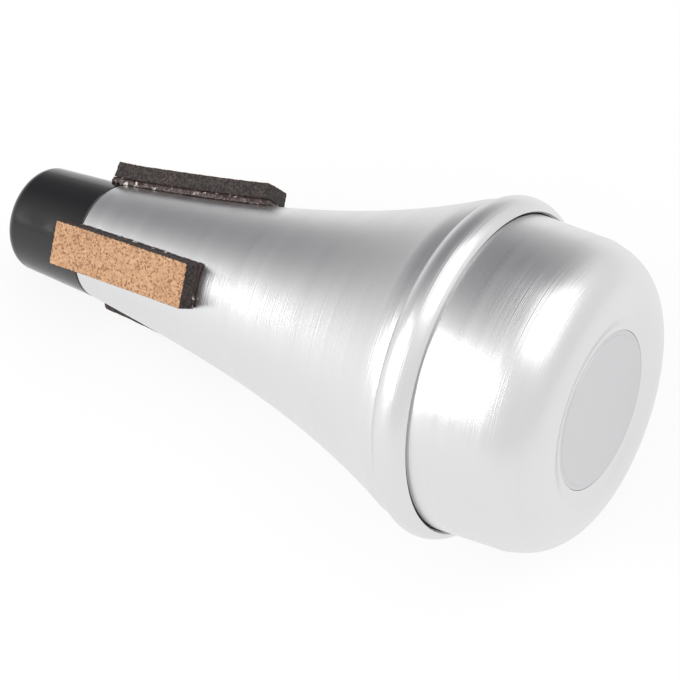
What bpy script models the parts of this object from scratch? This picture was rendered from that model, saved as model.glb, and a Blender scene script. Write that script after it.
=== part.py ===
"""Trumpet straight mute, lying on its rolled bead and on one cork strip.

A flared aluminium cone is closed by a dished end cup that its rolled bead
crimps. A plastic throat sleeve is glued into the small end, and three cork
strips are glued along the narrow end to seat in the instrument's bell.

Distances along the mute are counted from the nose towards the closed end.
"""

import math

import bmesh
import bpy
from mathutils import Matrix

MM = 0.001

# Sheet, clearance and facets
SHEET = 0.8 * MM
GAP = 0.3 * MM
TURN_STEPS = 48

# Throat sleeve
SLEEVE_LENGTH = 24.5 * MM
NOSE_RADIUS = 13.5 * MM
SLEEVE_END_RADIUS = 14.6 * MM
NOSE_ROUNDING = 3.3 * MM
NOSE_BORE_RADIUS = 9.9 * MM
SPIGOT_BORE_RADIUS = 11.2 * MM
SPIGOT_RADIUS = 12.9 * MM
SPIGOT_LENGTH = 12.0 * MM

# Flared cone
CONE_START_RADIUS = 14.6 * MM
CONE_LENGTH = 100.2 * MM
CONE_END_RADIUS = 37.5 * MM
FLARE_LINEAR_SHARE = 0.54
FLARE_POWER = 3.1
FLARE_POINTS = 11

# Groove and rolled bead at the big end
GROOVE_LENGTH = 2.9 * MM
GROOVE_RISE = 0.4 * MM
BEAD_STAND = 2.5 * MM
BEAD_ROUNDING = 5.0 * MM
BEAD_LIP_ANGLE = math.radians(31)
BEAD_POINTS = 7

# End cup
CUP_SIDE_LENGTH = 16.7 * MM
CUP_SIDE_TAPER = 0.9 * MM
CUP_FLANGE_LENGTH = 3.0 * MM
CUP_FLANGE_RISE = 1.2 * MM
CORNER_CREST_RADIUS = 23.6 * MM
CORNER_DEPTH = 12.3 * MM
CORNER_WIDTH = 12.1 * MM
CORNER_START_ANGLE = math.radians(14)
CORNER_POINTS = 8
DISH_DEPTH = 1.4 * MM
DISH_POINTS = 5

# Bare end badge
BADGE_RADIUS = 18.0 * MM
BADGE_THICKNESS = 0.5 * MM
BADGE_CHAMFER = 0.2 * MM

# Cork strips
CORK_START = 21.0 * MM
CORK_LENGTH = 45.2 * MM
CORK_WIDTH = 10.8 * MM
CORK_STAND = 4.9 * MM
CORK_END_SLANT = 0.8 * MM
CORK_POINTS = 8
GLUE_BED = 0.35 * MM
GLUE_INSET = 0.2 * MM
GLUE_SLAB_DEPTH = 2.6 * MM
# Angle round the body, skew of the strip and angle of its cut end, in degrees
CORK_PLACES = {
    "under": (0.0, 0.0, 0.0),
    "front": (-126.0, -2.0, 0.0),
    "back": (129.5, 2.0, 9.0),
}

CONE_START = SLEEVE_LENGTH + GAP
CONE_END = CONE_START + CONE_LENGTH
BEAD_CREST_RADIUS = CONE_END_RADIUS + BEAD_STAND
BEAD_CENTRE_RADIUS = BEAD_CREST_RADIUS - BEAD_ROUNDING
GROOVE_END_RADIUS = CONE_END_RADIUS + GROOVE_RISE
BEAD_RISE = GROOVE_END_RADIUS - BEAD_CENTRE_RADIUS
BEAD_REACH = math.sqrt(BEAD_ROUNDING**2 - BEAD_RISE**2)
BEAD_CENTRE = CONE_END + GROOVE_LENGTH + BEAD_REACH
BEAD_START_ANGLE = math.pi - math.asin(BEAD_RISE / BEAD_ROUNDING)
BEAD_LIP = BEAD_CENTRE + (BEAD_ROUNDING - SHEET) * math.cos(BEAD_LIP_ANGLE)
CUP_MOUTH_RADIUS = BEAD_CENTRE_RADIUS + (BEAD_ROUNDING - SHEET) * math.sin(BEAD_LIP_ANGLE) - GAP
CUP_FLANGE_START = BEAD_CENTRE + SHEET
CUP_SIDE_END = BEAD_LIP + CUP_SIDE_LENGTH
CORNER_CENTRE = CUP_SIDE_END - SHEET
CREST = CORNER_CENTRE + CORNER_DEPTH
BADGE_FACE = CREST - DISH_DEPTH
BADGE_SEAT = BADGE_FACE - BADGE_THICKNESS
RECESS_RADIUS = BADGE_RADIUS + GAP


def body_radius(along):
    """Outer radius of the sleeve and cone at a distance from the nose."""
    if along <= CONE_START:
        share = along / SLEEVE_LENGTH
        return NOSE_RADIUS + (SLEEVE_END_RADIUS - NOSE_RADIUS) * share
    share = (along - CONE_START) / CONE_LENGTH
    bend = FLARE_LINEAR_SHARE * share + (1 - FLARE_LINEAR_SHARE) * share**FLARE_POWER
    return CONE_START_RADIUS + (CONE_END_RADIUS - CONE_START_RADIUS) * bend


def spread(start, end, count):
    """Evenly spaced values from start to end."""
    return [start + (end - start) * index / (count - 1) for index in range(count)]


def arc(centre_along, centre_radius, reach_along, reach_radius, angles):
    """Points of an elliptical arc, as (along, radius)."""
    return [
        (
            centre_along + reach_along * math.cos(angle),
            centre_radius + reach_radius * math.sin(angle),
        )
        for angle in angles
    ]


def inner_side(outer, wall):
    """The outer side of a wall, moved inwards by its thickness."""
    moved = []
    for index, (along, radius) in enumerate(outer):
        before = outer[max(index - 1, 0)]
        after = outer[min(index + 1, len(outer) - 1)]
        run = after[0] - before[0]
        rise = after[1] - before[1]
        length = math.hypot(run, rise)
        inner_radius = radius + run / length * wall
        moved.append((along - rise / length * wall, inner_radius if radius > 0 else 0.0))
    return moved


def cone_outline():
    """Cone wall from the bead's lip down to the throat and back inside."""
    bead = arc(
        BEAD_CENTRE,
        BEAD_CENTRE_RADIUS,
        BEAD_ROUNDING,
        BEAD_ROUNDING,
        spread(BEAD_LIP_ANGLE, BEAD_START_ANGLE, BEAD_POINTS),
    )
    flare = [(along, body_radius(along)) for along in spread(CONE_END, CONE_START, FLARE_POINTS)]
    outer = bead + flare
    return outer + inner_side(outer, SHEET)[::-1]


def cup_outer():
    """Outer side of the end cup, from its centre out to its flange."""
    floor = [(BADGE_SEAT - GAP, 0.0), (BADGE_SEAT - GAP, RECESS_RADIUS)]
    dish = []
    for share in spread(0.0, 1.0, DISH_POINTS):
        radius = RECESS_RADIUS + (CORNER_CREST_RADIUS - RECESS_RADIUS) * share
        dish.append((BADGE_FACE + DISH_DEPTH * share**2 * (3 - 2 * share), radius))
    corner = arc(
        CORNER_CENTRE,
        CORNER_CREST_RADIUS,
        CORNER_DEPTH,
        CORNER_WIDTH,
        spread(0.0, math.pi / 2 - CORNER_START_ANGLE, CORNER_POINTS),
    )
    side = [
        (CUP_SIDE_END, CUP_MOUTH_RADIUS - CUP_SIDE_TAPER),
        (BEAD_LIP, CUP_MOUTH_RADIUS),
        (CUP_FLANGE_START, CUP_MOUTH_RADIUS),
        (CUP_FLANGE_START - CUP_FLANGE_LENGTH, CUP_MOUTH_RADIUS + CUP_FLANGE_RISE),
    ]
    return floor + dish + corner[1:] + side


def sleeve_outline():
    """Nose rounding, visible sleeve, shoulder, spigot and bore."""
    end = SLEEVE_LENGTH + GAP + SPIGOT_LENGTH
    nose = arc(
        NOSE_ROUNDING,
        NOSE_RADIUS - NOSE_ROUNDING,
        NOSE_ROUNDING,
        NOSE_ROUNDING,
        spread(math.pi / 2, math.pi, 5),
    )
    return [
        (end, SPIGOT_BORE_RADIUS),
        (end, SPIGOT_RADIUS),
        (SLEEVE_LENGTH, SPIGOT_RADIUS),
        (SLEEVE_LENGTH, SLEEVE_END_RADIUS),
        *nose,
        (0.0, NOSE_BORE_RADIUS),
    ]


def sleeve_glue_outline():
    """Glue wedge between the spigot and the inside of the cone."""
    end = CONE_START + SPIGOT_LENGTH - GAP
    start = CONE_START + GAP
    outer = [(along, body_radius(along) - SHEET - GAP) for along in spread(end, start, 3)]
    return outer + [(start, SPIGOT_RADIUS + GAP), (end, SPIGOT_RADIUS + GAP)]


def sealant_outline():
    """Sealant bead between the rolled bead and the cup's flange."""
    outer_radius = BEAD_ROUNDING - SHEET - GAP
    outer = arc(
        BEAD_CENTRE,
        BEAD_CENTRE_RADIUS,
        outer_radius,
        outer_radius,
        spread(math.radians(45), math.radians(95), 4),
    )
    seat = CUP_MOUTH_RADIUS + GAP
    slope = CUP_FLANGE_RISE / CUP_FLANGE_LENGTH
    flange_clearance = GAP * math.sqrt(1 + slope**2)
    low = outer[-1][0]
    flange_seat = CUP_MOUTH_RADIUS + (CUP_FLANGE_START - low) * slope + flange_clearance
    return outer + [(low, flange_seat), (CUP_FLANGE_START, seat), (outer[0][0], seat)]


def badge_outline():
    """Thin flat disc with a small chamfer, seated in the recess of the dish."""
    return [
        (BADGE_FACE, 0.0),
        (BADGE_FACE, BADGE_RADIUS - BADGE_CHAMFER),
        (BADGE_FACE - BADGE_CHAMFER, BADGE_RADIUS),
        (BADGE_SEAT, BADGE_RADIUS),
        (BADGE_SEAT, 0.0),
    ]


def cork_outline():
    """Side view of a strip, as (along, height above the mute's axis)."""
    end = CORK_START + CORK_LENGTH
    face_end = end - CORK_END_SLANT
    seat = 2 * GAP + GLUE_BED
    under = [(along, body_radius(along) + seat) for along in spread(CORK_START, end, CORK_POINTS)]
    face = [
        (along, body_radius(along) + CORK_STAND)
        for along in spread(face_end, CORK_START, CORK_POINTS)
    ]
    return under + face


def glue_outline():
    """Side view of a glue bed before the body's shape is cut out of it."""
    start = CORK_START + GLUE_INSET
    end = CORK_START + CORK_LENGTH - GLUE_INSET
    places = spread(start, end, CORK_POINTS)
    top = [(along, body_radius(along) + GAP + GLUE_BED) for along in places]
    bottom = [(along, body_radius(along) - GLUE_SLAB_DEPTH) for along in places]
    return bottom + top[::-1]


def clearance_outline():
    """Solid of the sleeve and cone with the clearance that the glue keeps."""
    start = CORK_START - CORK_WIDTH
    end = CORK_START + CORK_LENGTH + CORK_WIDTH
    side = [(along, body_radius(along) + GAP) for along in spread(end, start, 2 * CORK_POINTS)]
    return [(end, 0.0), *side, (start, 0.0)]


# The mute leans on its bead and on the nose end of the cork strip under it
REST_TILT = math.atan2(
    BEAD_CREST_RADIUS - body_radius(CORK_START) - CORK_STAND,
    BEAD_CENTRE - CORK_START,
)


def rest_matrix():
    """Place of the mute's axis when the whole bounding box stands at the origin."""
    lean = math.sin(REST_TILT)
    level = math.cos(REST_TILT)
    nose_reach = min(along * level - radius * lean for along, radius in sleeve_outline())
    end_reach = max(along * level + radius * lean for along, radius in cup_outer())
    place = Matrix.Translation(
        (
            -(nose_reach + end_reach) / 2,
            0.0,
            BEAD_CREST_RADIUS * level - BEAD_CENTRE * lean,
        )
    )
    return place @ Matrix.Rotation(math.pi / 2 - REST_TILT, 4, "Y")


def make_material(name, colour, roughness, metallic):
    material = bpy.data.materials.new(name)
    material.use_nodes = True
    shader = material.node_tree.nodes["Principled BSDF"]
    shader.inputs["Base Color"].default_value = (*colour, 1.0)
    shader.inputs["Roughness"].default_value = roughness
    shader.inputs["Metallic"].default_value = metallic
    return material


def add_object(name, mesh, collection, axis, material=None):
    thing = bpy.data.objects.new(name, mesh)
    collection.objects.link(thing)
    thing.parent = axis
    if material:
        mesh.materials.append(material)
    return thing


def turned(name, outline, collection, axis, material=None, closed=True, steps=TURN_STEPS):
    """Turn an outline of (along, radius) points round the mute's axis."""
    mesh = bpy.data.meshes.new(name)
    points = [(radius, 0.0, along) for along, radius in outline]
    edges = [(index, index + 1) for index in range(len(points) - 1)]
    if closed:
        edges.append((len(points) - 1, 0))
    mesh.from_pydata(points, edges, [])
    thing = add_object(name, mesh, collection, axis, material)
    screw = thing.modifiers.new("turn", "SCREW")
    screw.axis = "Z"
    screw.steps = steps
    screw.render_steps = steps
    screw.use_merge_vertices = True
    screw.merge_threshold = 0.00001
    screw.use_smooth_shade = True
    return thing


def strip(name, outline, width, place, collection, axis, material):
    """Extrude a side view across its width and lay it along the body."""
    curve = bpy.data.curves.new(name + "_outline", "CURVE")
    curve.dimensions = "2D"
    curve.fill_mode = "BOTH"
    curve.extrude = width / 2
    spline = curve.splines.new("POLY")
    spline.points.add(len(outline) - 1)
    for point, (along, height) in zip(spline.points, outline):
        point.co = (along, height, 0.0, 1.0)
    spline.use_cyclic_u = True
    guide = bpy.data.objects.new(name + "_guide", curve)
    collection.objects.link(guide)
    graph = bpy.context.evaluated_depsgraph_get()
    mesh = bpy.data.meshes.new_from_object(guide.evaluated_get(graph))
    bpy.data.objects.remove(guide)
    shape = bmesh.new()
    shape.from_mesh(mesh)
    bmesh.ops.remove_doubles(shape, verts=shape.verts, dist=0.00001)
    bmesh.ops.recalc_face_normals(shape, faces=shape.faces)
    middle = CORK_START + CORK_LENGTH / 2
    for corner in shape.verts:
        share = max(corner.co.x - middle, 0.0) / (CORK_LENGTH / 2)
        corner.co.x += share * corner.co.z * math.tan(math.radians(place[2]))
    shape.to_mesh(mesh)
    shape.free()

    angle = math.radians(place[0])
    skew = math.radians(place[1])
    onto_body = Matrix(
        (
            (0.0, math.cos(angle), -math.sin(angle), 0.0),
            (0.0, math.sin(angle), math.cos(angle), 0.0),
            (1.0, 0.0, 0.0, 0.0),
            (0.0, 0.0, 0.0, 1.0),
        )
    )
    to_middle = Matrix.Translation((middle, 0.0, 0.0))
    turn = to_middle @ Matrix.Rotation(-skew, 4, "Y") @ to_middle.inverted()
    thing = add_object(name, mesh, collection, axis, material)
    thing.matrix_basis = onto_body @ turn
    return thing


def main():
    for thing in list(bpy.data.objects):
        bpy.data.objects.remove(thing)

    parts = bpy.data.collections.new("trumpet_straight_mute")
    cutters = bpy.data.collections.new("cutters")
    bpy.context.scene.collection.children.link(parts)
    bpy.context.scene.collection.children.link(cutters)

    axis = bpy.data.objects.new("mute_axis", None)
    parts.objects.link(axis)
    axis.matrix_world = rest_matrix()

    aluminium = make_material("spun_aluminium", (0.80, 0.80, 0.81), 0.28, 1.0)
    badge_metal = make_material("badge_aluminium", (0.74, 0.74, 0.75), 0.35, 1.0)
    plastic = make_material("black_plastic", (0.018, 0.018, 0.018), 0.25, 0.0)
    cork = make_material("agglomerated_cork", (0.60, 0.33, 0.17), 0.85, 0.0)
    glue = make_material("contact_glue", (0.09, 0.035, 0.025), 0.4, 0.0)
    sealant = make_material("seam_sealant", (0.12, 0.12, 0.12), 0.6, 0.0)

    turned("cone_shell", cone_outline(), parts, axis, aluminium)
    cup = cup_outer()
    cup_wall = cup + inner_side(cup, SHEET)[::-1]
    turned("end_cup", cup_wall, parts, axis, aluminium, closed=False)
    turned("end_badge", badge_outline(), parts, axis, badge_metal, closed=False)
    turned("throat_sleeve", sleeve_outline(), parts, axis, plastic)
    turned("sleeve_glue_ring", sleeve_glue_outline(), parts, axis, glue)
    turned("seam_sealant_ring", sealant_outline(), parts, axis, sealant)

    clearance = turned("body_clearance", clearance_outline(), cutters, axis, closed=False)
    clearance.hide_render = True
    clearance.display_type = "WIRE"

    for side, place in CORK_PLACES.items():
        strip("cork_strip_" + side, cork_outline(), CORK_WIDTH, place, parts, axis, cork)
        bed_width = CORK_WIDTH - 2 * GLUE_INSET
        bed = strip("cork_glue_" + side, glue_outline(), bed_width, place, parts, axis, glue)
        cut = bed.modifiers.new("fit_body", "BOOLEAN")
        cut.operation = "DIFFERENCE"
        cut.solver = "EXACT"
        cut.object = clearance


main()
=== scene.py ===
import math

import bpy
from mathutils import Matrix, Vector


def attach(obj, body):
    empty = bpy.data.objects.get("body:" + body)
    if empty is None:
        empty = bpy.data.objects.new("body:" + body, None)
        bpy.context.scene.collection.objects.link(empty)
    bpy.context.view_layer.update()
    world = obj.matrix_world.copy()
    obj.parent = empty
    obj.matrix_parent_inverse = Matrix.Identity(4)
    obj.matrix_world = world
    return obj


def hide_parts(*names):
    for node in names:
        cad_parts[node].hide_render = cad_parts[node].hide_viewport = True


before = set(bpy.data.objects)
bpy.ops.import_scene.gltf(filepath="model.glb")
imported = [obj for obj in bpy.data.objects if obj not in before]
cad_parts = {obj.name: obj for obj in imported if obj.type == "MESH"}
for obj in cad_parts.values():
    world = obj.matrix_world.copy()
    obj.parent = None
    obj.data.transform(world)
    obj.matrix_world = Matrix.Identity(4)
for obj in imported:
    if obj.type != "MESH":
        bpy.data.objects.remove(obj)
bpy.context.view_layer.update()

# Camera
# A long lens stands past the closed end, in front of the mute and above it. It looks down
# over that end towards the nose, at the photograph's viewing angle.
MM = 0.001
CAMERA_PLACE = Vector((182.1, -271.3, 370.6)) * MM
CAMERA_TURN = math.radians(32.35)
CAMERA_DROP = math.radians(47.05)
CAMERA_ROLL = math.radians(1.98)
CAMERA_LENS = 105.9
camera_data = bpy.data.cameras.new("camera")
camera_data.lens = CAMERA_LENS
camera = bpy.data.objects.new("camera", camera_data)
bpy.context.scene.collection.objects.link(camera)
camera.matrix_world = (
    Matrix.Translation(CAMERA_PLACE)
    @ Matrix.Rotation(CAMERA_TURN, 4, "Z")
    @ Matrix.Rotation(math.pi / 2 - CAMERA_DROP, 4, "X")
    @ Matrix.Rotation(CAMERA_ROLL, 4, "Z")
)
bpy.context.scene.camera = camera
bpy.context.scene.view_settings.view_transform = "Standard"

# Floor, lamps and surroundings
# A plain white floor, one soft lamp in front, one above, and a pale room. The room is grey
# on one side, above and behind the narrow end, and the metal shows that as a soft band.
FLOOR_SIZE = 4.0
FLOOR_DROP = 0.1 * MM
FLOOR_PAINT = (0.9, 0.9, 0.9, 1.0)
FLOOR_WHITE_SHARE = 0.86
LAMP_AIM = Vector((0.0, 0.0, 0.03))
FRONT_LAMP_PLACE = Vector((-0.65, -0.95, 0.62))
FRONT_LAMP_SIZE = 0.7
FRONT_LAMP_POWER = 9.0
TOP_LAMP_PLACE = Vector((0.5, 0.2, 1.4))
TOP_LAMP_SIZE = 1.4
TOP_LAMP_POWER = 7.0
ROOM_BRIGHTNESS = 0.88
ROOM_WHITE = (1.0, 1.0, 1.0, 1.0)
ROOM_GREY = (0.30, 0.30, 0.31, 1.0)
GREY_SIDE = (-0.62, 0.45, 0.64)
GREY_BEGINS = 0.55
GREY_IS_FULL = 0.95

bpy.ops.object.select_all(action="DESELECT")
bpy.ops.mesh.primitive_plane_add(size=FLOOR_SIZE, location=(0.0, 0.0, -FLOOR_DROP))
floor = bpy.context.object
floor.name = "floor"
floor_paint = bpy.data.materials.new("white_floor")
floor_paint.use_nodes = True
nodes = floor_paint.node_tree.nodes
links = floor_paint.node_tree.links
nodes.clear()
floor_output = nodes.new("ShaderNodeOutputMaterial")
floor_matte = nodes.new("ShaderNodeBsdfDiffuse")
floor_matte.inputs["Color"].default_value = FLOOR_PAINT
floor_white = nodes.new("ShaderNodeEmission")
floor_white.inputs["Strength"].default_value = 1.0
floor_rays = nodes.new("ShaderNodeLightPath")
seen = nodes.new("ShaderNodeMath")
seen.operation = "MAXIMUM"
links.new(floor_rays.outputs["Is Camera Ray"], seen.inputs[0])
links.new(floor_rays.outputs["Is Glossy Ray"], seen.inputs[1])
white_share = nodes.new("ShaderNodeMath")
white_share.operation = "MULTIPLY"
white_share.inputs[1].default_value = FLOOR_WHITE_SHARE
links.new(seen.outputs[0], white_share.inputs[0])
floor_mix = nodes.new("ShaderNodeMixShader")
links.new(white_share.outputs[0], floor_mix.inputs[0])
links.new(floor_matte.outputs[0], floor_mix.inputs[1])
links.new(floor_white.outputs[0], floor_mix.inputs[2])
links.new(floor_mix.outputs[0], floor_output.inputs["Surface"])
floor.data.materials.append(floor_paint)


def add_lamp(name, place, size, power):
    """A square soft lamp that points at the mute."""
    lamp = bpy.data.lights.new(name, "AREA")
    lamp.shape = "SQUARE"
    lamp.size = size
    lamp.energy = power
    holder = bpy.data.objects.new(name, lamp)
    bpy.context.scene.collection.objects.link(holder)
    holder.location = place
    holder.rotation_euler = (LAMP_AIM - place).to_track_quat("-Z", "Y").to_euler()


add_lamp("lamp_front", FRONT_LAMP_PLACE, FRONT_LAMP_SIZE, FRONT_LAMP_POWER)
add_lamp("lamp_above", TOP_LAMP_PLACE, TOP_LAMP_SIZE, TOP_LAMP_POWER)

room = bpy.data.worlds.new("pale_room")
bpy.context.scene.world = room
room.use_nodes = True
nodes = room.node_tree.nodes
links = room.node_tree.links
room_light = nodes["Background"]
room_light.inputs["Strength"].default_value = ROOM_BRIGHTNESS
direction = nodes.new("ShaderNodeTexCoord")
room_side = nodes.new("ShaderNodeVectorMath")
room_side.operation = "DOT_PRODUCT"
room_side.inputs[1].default_value = GREY_SIDE
links.new(direction.outputs["Generated"], room_side.inputs[0])
room_tone = nodes.new("ShaderNodeValToRGB")
room_tone.color_ramp.elements[0].position = GREY_BEGINS
room_tone.color_ramp.elements[0].color = ROOM_WHITE
room_tone.color_ramp.elements[1].position = GREY_IS_FULL
room_tone.color_ramp.elements[1].color = ROOM_GREY
links.new(room_side.outputs["Value"], room_tone.inputs[0])
links.new(room_tone.outputs[0], room_light.inputs["Color"])

# Throat sleeve
# A moulded black plastic sleeve with a rounded nose. Its spigot is glued into the cone,
# and its gloss shows soft reflections with a few handling marks.
SLEEVE_LENGTH = 24.5 * MM
NOSE_RADIUS = 13.5 * MM
SLEEVE_END_RADIUS = 14.6 * MM
NOSE_ROUNDING = 3.3 * MM
NOSE_BORE_RADIUS = 9.9 * MM
SPIGOT_BORE_RADIUS = 11.2 * MM
SPIGOT_RADIUS = 12.9 * MM
SPIGOT_LENGTH = 12.0 * MM
GAP = 0.3 * MM
PLASTIC_BLACK = (0.007, 0.007, 0.008)

# The mute lies on its rolled bead and on the nose end of the cork strip under it, so its
# axis rises to the closed end. NOSE_POINT is on the axis, in the plane of the nose.
REST_TILT = math.radians(10.5447)
NOSE_POINT = Vector((-81.8302, 0.0, 15.1732)) * MM
AXIS = Vector((math.cos(REST_TILT), 0.0, math.sin(REST_TILT)))
UPWARD = Vector((-math.sin(REST_TILT), 0.0, math.cos(REST_TILT)))
TURN_STEPS = 160
TURN_MERGE_DISTANCE = 0.01 * MM
SHARP_EDGE_ANGLE = math.radians(32)


def spread(start, end, count):
    """Evenly spaced values from start to end."""
    return [start + (end - start) * index / (count - 1) for index in range(count)]


def arc(along, radius, reach_along, reach_radius, angles):
    """Outline points on an arc or an oval, round a centre given by place and radius."""
    return [
        (along + reach_along * math.cos(angle), radius + reach_radius * math.sin(angle))
        for angle in angles
    ]


def on_mute(along, radius):
    """A point at a distance from the nose and a height above the axis."""
    return NOSE_POINT + AXIS * along + UPWARD * radius


def turn_piece(name, outline, closed=True):
    """Extrude an outline point by point and spin it round the mute's axis."""
    bpy.ops.object.select_all(action="DESELECT")
    start = on_mute(*outline[0])
    bpy.ops.mesh.primitive_plane_add(size=MM, location=start)
    piece = bpy.context.object
    piece.name = name
    bpy.ops.object.transform_apply(location=True)
    bpy.ops.object.mode_set(mode="EDIT")
    bpy.ops.mesh.select_all(action="SELECT")
    bpy.ops.mesh.merge(type="CENTER")
    place = start
    for along, radius in outline[1:]:
        target = on_mute(along, radius)
        bpy.ops.mesh.extrude_vertices_move(TRANSFORM_OT_translate={"value": target - place})
        place = target
    if closed:
        bpy.ops.mesh.extrude_vertices_move(TRANSFORM_OT_translate={"value": start - place})
    bpy.ops.mesh.select_all(action="SELECT")
    bpy.ops.mesh.spin(
        steps=TURN_STEPS, angle=2 * math.pi, center=NOSE_POINT, axis=AXIS, use_auto_merge=True
    )
    bpy.ops.mesh.select_all(action="SELECT")
    bpy.ops.mesh.remove_doubles(threshold=TURN_MERGE_DISTANCE)
    bpy.ops.mesh.normals_make_consistent(inside=False)
    bpy.ops.object.mode_set(mode="OBJECT")
    bpy.ops.object.shade_smooth_by_angle(angle=SHARP_EDGE_ANGLE)
    return piece


def new_material(name, colour, roughness, metallic=0.0):
    """A material with a plain colour, and what is needed to add to it."""
    material = bpy.data.materials.new(name)
    material.use_nodes = True
    shader = material.node_tree.nodes["Principled BSDF"]
    shader.inputs["Base Color"].default_value = (*colour, 1.0)
    shader.inputs["Roughness"].default_value = roughness
    shader.inputs["Metallic"].default_value = metallic
    return material, material.node_tree.nodes, material.node_tree.links, shader


def build_group(name, inputs, outputs):
    """An empty node group with named number sockets."""
    group = bpy.data.node_groups.new(name, "ShaderNodeTree")
    for socket in inputs:
        group.interface.new_socket(socket, in_out="INPUT", socket_type="NodeSocketFloat")
    for socket in outputs:
        group.interface.new_socket(socket, in_out="OUTPUT", socket_type="NodeSocketFloat")
    return group, group.nodes.new("NodeGroupInput"), group.nodes.new("NodeGroupOutput")


def build_clouds():
    """Node group: a cloudy pattern, with a part of its range stretched to new values."""
    group, start, end = build_group(
        "clouds", ["Scale", "From low", "From high", "To low", "To high"], ["Value"]
    )
    place = group.nodes.new("ShaderNodeTexCoord")
    noise = group.nodes.new("ShaderNodeTexNoise")
    noise.inputs["Detail"].default_value = 4.0
    stretch = group.nodes.new("ShaderNodeMapRange")
    group.links.new(place.outputs["Object"], noise.inputs["Vector"])
    group.links.new(start.outputs["Scale"], noise.inputs["Scale"])
    group.links.new(noise.outputs["Fac"], stretch.inputs["Value"])
    group.links.new(start.outputs["From low"], stretch.inputs["From Min"])
    group.links.new(start.outputs["From high"], stretch.inputs["From Max"])
    group.links.new(start.outputs["To low"], stretch.inputs["To Min"])
    group.links.new(start.outputs["To high"], stretch.inputs["To Max"])
    group.links.new(stretch.outputs["Result"], end.inputs["Value"])
    return group


CLOUDS = build_clouds()


def add_clouds(nodes, scale, part, values):
    """Place the clouds in a material, with its own scale, part of the range and values."""
    clouds = nodes.new("ShaderNodeGroup")
    clouds.node_tree = CLOUDS
    clouds.inputs["Scale"].default_value = scale
    clouds.inputs["From low"].default_value = part[0]
    clouds.inputs["From high"].default_value = part[1]
    clouds.inputs["To low"].default_value = values[0]
    clouds.inputs["To high"].default_value = values[1]
    return clouds.outputs["Value"]


sleeve_end = SLEEVE_LENGTH + GAP + SPIGOT_LENGTH
nose_arc = arc(
    NOSE_ROUNDING,
    NOSE_RADIUS - NOSE_ROUNDING,
    NOSE_ROUNDING,
    NOSE_ROUNDING,
    spread(math.pi / 2, math.pi, 14),
)
sleeve = turn_piece(
    "throat_sleeve_turned",
    [
        (sleeve_end, SPIGOT_BORE_RADIUS),
        (sleeve_end, SPIGOT_RADIUS),
        (SLEEVE_LENGTH, SPIGOT_RADIUS),
        (SLEEVE_LENGTH, SLEEVE_END_RADIUS - GAP),
        (SLEEVE_LENGTH - GAP, SLEEVE_END_RADIUS),
        *nose_arc,
        (GAP, NOSE_BORE_RADIUS),
    ],
)
plastic, nodes, links, shader = new_material("black_moulded_plastic", PLASTIC_BLACK, roughness=0.2)
shader.inputs["Coat Weight"].default_value = 0.12
shader.inputs["Coat Roughness"].default_value = 0.08
handling_marks = add_clouds(nodes, scale=180.0, part=(0.35, 0.7), values=(0.10, 0.24))
links.new(handling_marks, shader.inputs["Roughness"])
moulding_grain = add_clouds(nodes, scale=900.0, part=(0.3, 0.7), values=(0.0, 1.0))
grain_bump = nodes.new("ShaderNodeBump")
grain_bump.inputs["Strength"].default_value = 0.05
grain_bump.inputs["Distance"].default_value = 0.2 * MM
links.new(moulding_grain, grain_bump.inputs["Height"])
links.new(grain_bump.outputs["Normal"], shader.inputs["Normal"])
sleeve.data.materials.append(plastic)
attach(sleeve, "root")
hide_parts("throat_sleeve")

# Cone with its rolled bead
# Spun from aluminium sheet on a lathe, which leaves fine rings round it. The big end is
# rolled outwards and curled in over the rim of the cup.
SHEET = 0.8 * MM
CONE_START = SLEEVE_LENGTH + GAP
CONE_START_RADIUS = 14.6 * MM
CONE_LENGTH = 100.2 * MM
CONE_END_RADIUS = 37.5 * MM
FLARE_LINEAR_SHARE = 0.54
FLARE_POWER = 3.1
GROOVE_LENGTH = 2.9 * MM
GROOVE_RISE = 0.4 * MM
BEAD_CREST_RADIUS = 40.0 * MM
BEAD_ROUNDING = 5.0 * MM
BEAD_LIP_ANGLE = math.radians(31)
BEAD_CENTRE_RADIUS = BEAD_CREST_RADIUS - BEAD_ROUNDING
BEAD_RISE = CONE_END_RADIUS + GROOVE_RISE - BEAD_CENTRE_RADIUS
BEAD_CENTRE = CONE_START + CONE_LENGTH + GROOVE_LENGTH
BEAD_CENTRE += math.sqrt(BEAD_ROUNDING**2 - BEAD_RISE**2)
BEAD_START_ANGLE = math.pi - math.asin(BEAD_RISE / BEAD_ROUNDING)
SPUN_ALUMINIUM = (0.77, 0.77, 0.775)
SMUDGED_ALUMINIUM = (0.55, 0.55, 0.56)
RING_HEIGHT = 0.1 * MM
TONE_BANDS_PER_METRE = 260.0
TONE_BAND_GLOSSIER = 0.06
TONE_BAND_DULLER = 0.08


def cone_radius(along):
    """The cone's outer radius: part straight taper, part a flare that steepens."""
    share = (along - CONE_START) / CONE_LENGTH
    bend = FLARE_LINEAR_SHARE * share + (1 - FLARE_LINEAR_SHARE) * share**FLARE_POWER
    return CONE_START_RADIUS + (CONE_END_RADIUS - CONE_START_RADIUS) * bend


def inner_side(outer, wall):
    """The outer side of a wall, moved inwards by its thickness."""
    moved = []
    for index, (along, radius) in enumerate(outer):
        before = outer[max(index - 1, 0)]
        after = outer[min(index + 1, len(outer) - 1)]
        run = after[0] - before[0]
        rise = after[1] - before[1]
        length = math.hypot(run, rise)
        inner = radius + run / length * wall
        moved.append((along - rise / length * wall, inner if radius > 0 else 0.0))
    return moved


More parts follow.
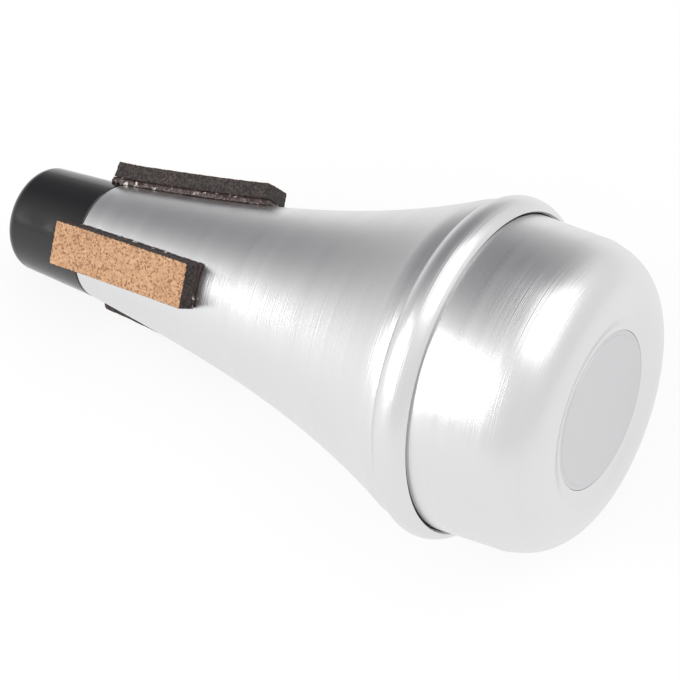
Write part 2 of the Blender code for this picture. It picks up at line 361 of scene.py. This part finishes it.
def build_rings():
    """Node group: fine rings round the mute's axis, and slow bands of tone along it."""
    group, start, end = build_group("spin_rings", ["Rings per metre"], ["Height", "Tone"])
    place = group.nodes.new("ShaderNodeTexCoord")
    along = group.nodes.new("ShaderNodeVectorMath")
    along.operation = "DOT_PRODUCT"
    along.inputs[1].default_value = AXIS
    group.links.new(place.outputs["Object"], along.inputs[0])
    fine = group.nodes.new("ShaderNodeTexNoise")
    fine.noise_dimensions = "1D"
    fine.inputs["Detail"].default_value = 3.0
    group.links.new(along.outputs["Value"], fine.inputs["W"])
    group.links.new(start.outputs["Rings per metre"], fine.inputs["Scale"])
    coarse = group.nodes.new("ShaderNodeTexNoise")
    coarse.noise_dimensions = "1D"
    coarse.inputs["Scale"].default_value = TONE_BANDS_PER_METRE
    group.links.new(along.outputs["Value"], coarse.inputs["W"])
    group.links.new(fine.outputs["Fac"], end.inputs["Height"])
    group.links.new(coarse.outputs["Fac"], end.inputs["Tone"])
    return group


RINGS = build_rings()


def spun_metal(name, colour, roughness, rings_per_metre, ring_depth):
    """Aluminium with lathe rings, bands that are glossier or duller, and faint smudges."""
    material, nodes, links, shader = new_material(name, colour, roughness, metallic=1.0)
    rings = nodes.new("ShaderNodeGroup")
    rings.node_tree = RINGS
    rings.inputs["Rings per metre"].default_value = rings_per_metre
    bump = nodes.new("ShaderNodeBump")
    bump.inputs["Strength"].default_value = ring_depth
    bump.inputs["Distance"].default_value = RING_HEIGHT
    links.new(rings.outputs["Height"], bump.inputs["Height"])
    links.new(bump.outputs["Normal"], shader.inputs["Normal"])
    gloss = nodes.new("ShaderNodeMapRange")
    gloss.inputs["To Min"].default_value = roughness - TONE_BAND_GLOSSIER
    gloss.inputs["To Max"].default_value = roughness + TONE_BAND_DULLER
    links.new(rings.outputs["Tone"], gloss.inputs["Value"])
    links.new(gloss.outputs["Result"], shader.inputs["Roughness"])
    smudges = add_clouds(nodes, scale=28.0, part=(0.35, 0.75), values=(0.0, 0.10))
    tone = nodes.new("ShaderNodeMix")
    tone.data_type = "RGBA"
    tone.inputs["A"].default_value = (*colour, 1.0)
    tone.inputs["B"].default_value = (*SMUDGED_ALUMINIUM, 1.0)
    links.new(smudges, tone.inputs["Factor"])
    links.new(tone.outputs["Result"], shader.inputs["Base Color"])
    return material


bead = arc(
    BEAD_CENTRE,
    BEAD_CENTRE_RADIUS,
    BEAD_ROUNDING,
    BEAD_ROUNDING,
    spread(BEAD_LIP_ANGLE, BEAD_START_ANGLE, 20),
)
flare = [(along, cone_radius(along)) for along in spread(CONE_START + CONE_LENGTH, CONE_START, 40)]
cone_outer = bead + flare
cone = turn_piece("cone_spun", cone_outer + inner_side(cone_outer, SHEET)[::-1])
cone_metal = spun_metal(
    "spun_aluminium_cone", SPUN_ALUMINIUM, roughness=0.31, rings_per_metre=2600.0, ring_depth=0.50
)
cone.data.materials.append(cone_metal)
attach(cone, "root")
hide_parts("cone_shell")

# End cup
# A shallow aluminium cup, spun with a rounded corner and a dished end. Its flanged rim is
# gripped inside the cone's bead.
BEAD_LIP = BEAD_CENTRE + (BEAD_ROUNDING - SHEET) * math.cos(BEAD_LIP_ANGLE)
CUP_MOUTH_RADIUS = BEAD_CENTRE_RADIUS + (BEAD_ROUNDING - SHEET) * math.sin(BEAD_LIP_ANGLE) - GAP
CUP_SIDE_END = BEAD_LIP + 16.7 * MM
CUP_SIDE_TAPER = 0.9 * MM
CUP_FLANGE_START = BEAD_CENTRE + SHEET
CUP_FLANGE_LENGTH = 3.0 * MM
CUP_FLANGE_RISE = 1.2 * MM
CORNER_CREST_RADIUS = 23.6 * MM
CORNER_DEPTH = 12.3 * MM
CORNER_WIDTH = 12.1 * MM
CORNER_START_ANGLE = math.radians(14)
CORNER_CENTRE = CUP_SIDE_END - SHEET
DISH_DEPTH = 1.4 * MM
BADGE_RADIUS = 18.0 * MM
BADGE_THICKNESS = 0.5 * MM
BADGE_FACE = CORNER_CENTRE + CORNER_DEPTH - DISH_DEPTH
BADGE_SEAT = BADGE_FACE - BADGE_THICKNESS
RECESS_RADIUS = BADGE_RADIUS + GAP

dish = []
for share in spread(0.0, 1.0, 14):
    radius = RECESS_RADIUS + (CORNER_CREST_RADIUS - RECESS_RADIUS) * share
    dish.append((BADGE_FACE + DISH_DEPTH * share**2 * (3 - 2 * share), radius))
corner = arc(
    CORNER_CENTRE,
    CORNER_CREST_RADIUS,
    CORNER_DEPTH,
    CORNER_WIDTH,
    spread(0.0, math.pi / 2 - CORNER_START_ANGLE, 28),
)
cup_outer = [
    (BADGE_SEAT - GAP, 0.0),
    (BADGE_SEAT - GAP, RECESS_RADIUS),
    *dish,
    *corner[1:],
    (CUP_SIDE_END, CUP_MOUTH_RADIUS - CUP_SIDE_TAPER),
    (BEAD_LIP, CUP_MOUTH_RADIUS),
    (CUP_FLANGE_START, CUP_MOUTH_RADIUS),
    (CUP_FLANGE_START - CUP_FLANGE_LENGTH, CUP_MOUTH_RADIUS + CUP_FLANGE_RISE),
]
cup = turn_piece("end_cup_spun", cup_outer + inner_side(cup_outer, SHEET)[::-1], closed=False)
cup_metal = spun_metal(
    "spun_aluminium_cup", SPUN_ALUMINIUM, roughness=0.29, rings_per_metre=3200.0, ring_depth=0.35
)
cup.data.materials.append(cup_metal)
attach(cup, "root")
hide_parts("end_cup")

# End badge
# A thin bare aluminium disc, set flush in a shallow recess of the dished end. One fine
# ring runs round its face, near the edge.
BADGE_EDGE = 0.10 * MM
BADGE_RING_WIDTH = 0.6 * MM
BADGE_ALUMINIUM = (0.68, 0.68, 0.69)
badge_edge_radius = RECESS_RADIUS - BADGE_EDGE / 2
badge_outline = [
    (BADGE_FACE, 0.0),
    (BADGE_FACE, badge_edge_radius - 2 * BADGE_RING_WIDTH),
    (BADGE_FACE - BADGE_EDGE, badge_edge_radius - 2 * BADGE_RING_WIDTH + BADGE_EDGE),
    (BADGE_FACE, badge_edge_radius - BADGE_RING_WIDTH),
    (BADGE_FACE, badge_edge_radius - BADGE_EDGE),
    (BADGE_FACE - BADGE_EDGE, badge_edge_radius),
    (BADGE_SEAT, badge_edge_radius),
    (BADGE_SEAT, 0.0),
]
badge = turn_piece("end_badge_disc", badge_outline, closed=False)
badge_metal = spun_metal(
    "badge_aluminium", BADGE_ALUMINIUM, roughness=0.42, rings_per_metre=1500.0, ring_depth=0.1
)
badge.data.materials.append(badge_metal)
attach(badge, "root")
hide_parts("end_badge")

# Cork strips
# Three strips cut from a sheet of pressed cork granules. The outer face is sanded to fit
# the bell, and the sides are stained dark.
CORK_ANGLES = {"under": 0.0, "front": -126.0, "back": 129.5}
CORK_VOXEL = 0.35 * MM
CORK_RELIEF = 0.10 * MM
CORK_RELIEF_SIZE = 0.7 * MM
CORK_RELIEF_SUNK_SHARE = 0.75
CORK_FACE_LIMIT = 0.72
GRANULES_PER_METRE = 2400.0
GRANULE_HEIGHT = 0.2 * MM
MIDDLE_GRANULES_STEP = 0.12
CORK_CLOUD_SHADE = 0.72
COPY_MERGE_DISTANCE = 0.005 * MM


def copied_solid(node, name, voxel, relief, relief_size, sunk_share):
    """A finer copy of a solid, with softened edges and a rough surface."""
    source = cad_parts[node]
    piece = bpy.data.objects.new(name, source.data.copy())
    bpy.context.scene.collection.objects.link(piece)
    piece.data.materials.clear()
    bpy.ops.object.select_all(action="DESELECT")
    piece.select_set(True)
    bpy.context.view_layer.objects.active = piece
    bpy.ops.object.mode_set(mode="EDIT")
    bpy.ops.mesh.select_all(action="SELECT")
    bpy.ops.mesh.remove_doubles(threshold=COPY_MERGE_DISTANCE)
    bpy.ops.object.mode_set(mode="OBJECT")
    remesh = piece.modifiers.new("granules", "REMESH")
    remesh.mode = "VOXEL"
    remesh.voxel_size = voxel
    rough = bpy.data.textures.new(name + "_relief", "CLOUDS")
    rough.noise_scale = relief_size
    displace = piece.modifiers.new("relief", "DISPLACE")
    displace.texture = rough
    displace.texture_coords = "LOCAL"
    displace.strength = relief
    displace.mid_level = sunk_share
    for modifier in ("granules", "relief"):
        bpy.ops.object.modifier_apply(modifier=modifier)
    bpy.ops.object.shade_smooth()
    return piece


def build_granules():
    """Node group: cork granules, each with a tone of its own and a raised middle."""
    group, start, end = build_group("cork_granules", ["Granules per metre"], ["Tone", "Height"])
    place = group.nodes.new("ShaderNodeTexCoord")
    cells = group.nodes.new("ShaderNodeTexVoronoi")
    group.links.new(place.outputs["Object"], cells.inputs["Vector"])
    group.links.new(start.outputs["Granules per metre"], cells.inputs["Scale"])
    split = group.nodes.new("ShaderNodeSeparateColor")
    group.links.new(cells.outputs["Color"], split.inputs["Color"])
    group.links.new(split.outputs["Red"], end.inputs["Tone"])
    group.links.new(cells.outputs["Distance"], end.inputs["Height"])
    return group


GRANULES = build_granules()


def cork_material(name, dark, middle, pale, dark_share):
    """Pressed cork in three tones of granules, with cloudy darker patches."""
    material, nodes, links, shader = new_material(name, middle, roughness=0.85)
    granules = nodes.new("ShaderNodeGroup")
    granules.node_tree = GRANULES
    granules.inputs["Granules per metre"].default_value = GRANULES_PER_METRE
    ramp = nodes.new("ShaderNodeValToRGB")
    ramp.color_ramp.elements[0].color = (*dark, 1.0)
    ramp.color_ramp.elements[0].position = dark_share
    ramp.color_ramp.elements[1].color = (*pale, 1.0)
    ramp.color_ramp.elements[1].position = 1.0
    between = ramp.color_ramp.elements.new(dark_share + MIDDLE_GRANULES_STEP)
    between.color = (*middle, 1.0)
    links.new(granules.outputs["Tone"], ramp.inputs[0])
    patches = add_clouds(nodes, scale=320.0, part=(0.35, 0.65), values=(0.0, 0.35))
    blend = nodes.new("ShaderNodeMix")
    blend.data_type = "RGBA"
    blend.inputs["B"].default_value = (*[value * CORK_CLOUD_SHADE for value in middle], 1.0)
    links.new(patches, blend.inputs["Factor"])
    links.new(ramp.outputs["Color"], blend.inputs["A"])
    links.new(blend.outputs["Result"], shader.inputs["Base Color"])
    bump = nodes.new("ShaderNodeBump")
    bump.inputs["Strength"].default_value = 0.5
    bump.inputs["Distance"].default_value = GRANULE_HEIGHT
    links.new(granules.outputs["Height"], bump.inputs["Height"])
    links.new(bump.outputs["Normal"], shader.inputs["Normal"])
    return material


cork_face = cork_material(
    "sanded_cork",
    dark=(0.24, 0.11, 0.055),
    middle=(0.44, 0.235, 0.12),
    pale=(0.58, 0.36, 0.21),
    dark_share=0.12,
)
cork_side = cork_material(
    "stained_cork",
    dark=(0.016, 0.012, 0.012),
    middle=(0.034, 0.026, 0.025),
    pale=(0.075, 0.055, 0.05),
    dark_share=0.35,
)
for side, degrees in CORK_ANGLES.items():
    cork = copied_solid(
        "cork_strip_" + side,
        "cork_strip_cut_" + side,
        CORK_VOXEL,
        CORK_RELIEF,
        CORK_RELIEF_SIZE,
        CORK_RELIEF_SUNK_SHARE,
    )
    cork.data.materials.append(cork_face)
    cork.data.materials.append(cork_side)
    angle = math.radians(degrees)
    outward = -UPWARD * math.cos(angle) + Vector((0.0, math.sin(angle), 0.0))
    for polygon in cork.data.polygons:
        polygon.material_index = 0 if polygon.normal.dot(outward) > CORK_FACE_LIMIT else 1
    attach(cork, "root")
    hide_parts("cork_strip_" + side)

# Glue beds
# Contact glue, brushed on the cone and squeezed out under each strip. Its dark brown colour
# is painted shade in the gap under each strip; the pale crumbs in it are the whitish glue.
GLUE_VOXEL = 0.2 * MM
GLUE_SWELL = 0.55 * MM
GLUE_SWELL_SIZE = 1.2 * MM
# Painted shade: this dark brown stands for the shadow in the gap under each cork strip.
GLUE_PAINTED_GAP_SHADE = (0.035, 0.016, 0.014)
GLUE_CRUMBS = (0.62, 0.58, 0.52)
glue_and_gap_shade, nodes, links, shader = new_material("contact_glue_painted_gap_shade", GLUE_PAINTED_GAP_SHADE, roughness=0.4)
crumb_places = add_clouds(nodes, scale=700.0, part=(0.60, 0.68), values=(0.0, 1.0))
crumbs = nodes.new("ShaderNodeMix")
crumbs.data_type = "RGBA"
crumbs.inputs["A"].default_value = (*GLUE_PAINTED_GAP_SHADE, 1.0)
crumbs.inputs["B"].default_value = (*GLUE_CRUMBS, 1.0)
links.new(crumb_places, crumbs.inputs["Factor"])
links.new(crumbs.outputs["Result"], shader.inputs["Base Color"])
glue_gloss = add_clouds(nodes, scale=500.0, part=(0.3, 0.7), values=(0.25, 0.6))
links.new(glue_gloss, shader.inputs["Roughness"])
for side in CORK_ANGLES:
    bed = copied_solid(
        "cork_glue_" + side,
        "cork_glue_bed_" + side,
        GLUE_VOXEL,
        GLUE_SWELL,
        GLUE_SWELL_SIZE,
        sunk_share=0.0,
    )
    bed.data.materials.append(glue_and_gap_shade)
    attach(bed, "root")
    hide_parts("cork_glue_" + side)

# Hidden glue ring and seam sealant
# The ring of glue on the spigot and the sealant in the crimp stay as they are in the
# frame, with a dried, cloudy finish.
SEALANT_GREY = (0.12, 0.12, 0.12)
sealant, nodes, links, shader = new_material("dried_sealant", SEALANT_GREY, roughness=0.6)
sealant_gloss = add_clouds(nodes, scale=400.0, part=(0.3, 0.7), values=(0.45, 0.75))
links.new(sealant_gloss, shader.inputs["Roughness"])
# The spigot's glue ring takes the glue beds' material, with its painted gap shade.
for node, finish in (("sleeve_glue_ring", glue_and_gap_shade), ("seam_sealant_ring", sealant)):
    hidden_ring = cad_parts[node]
    hidden_ring.data.materials.clear()
    hidden_ring.data.materials.append(finish)
